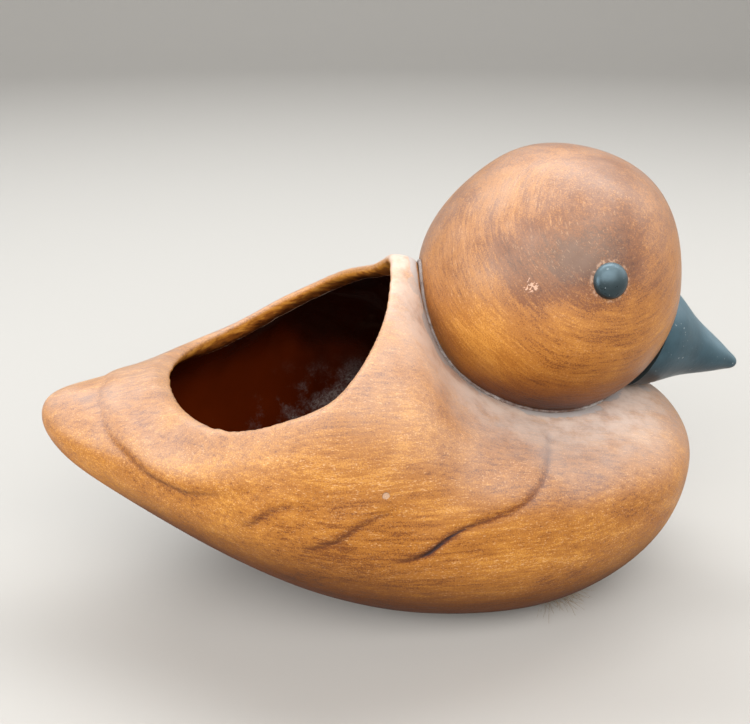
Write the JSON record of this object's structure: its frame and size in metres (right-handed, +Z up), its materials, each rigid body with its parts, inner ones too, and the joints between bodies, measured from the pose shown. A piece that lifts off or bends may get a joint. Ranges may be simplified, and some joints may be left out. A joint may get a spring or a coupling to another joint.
{
  "type": "duck planter",
  "caption": "Ceramic duckling planter with an open scooped back, ball head, painted beak and eyes, and a felt base pad.",
  "frame": {"origin": "middle of the length and width, on the underside of the felt pad", "axes": "+X towards the beak, +Y the duckling's left, +Z up"},
  "size_m": [0.235, 0.126, 0.1495],
  "materials": {
    "stained_clay": "satin brushed brown stain over fired clay",
    "stained_head": "satin brushed brown stain over fired clay",
    "pale_slip": "matte pale slip in the neck groove",
    "slate_paint": "satin blue-black paint over clay",
    "eye_paint": "semi-gloss blue-black paint over clay",
    "felt": "tan felt with a frayed edge"
  },
  "bodies": {
    "root": {"body_shell": "stained_clay", "head_shell": "stained_head", "neck_slip_joint": "pale_slip", "beak": "slate_paint", "eye_right": "eye_paint", "eye_left": "eye_paint", "base_felt": "felt"}
  },
  "joints": []
}
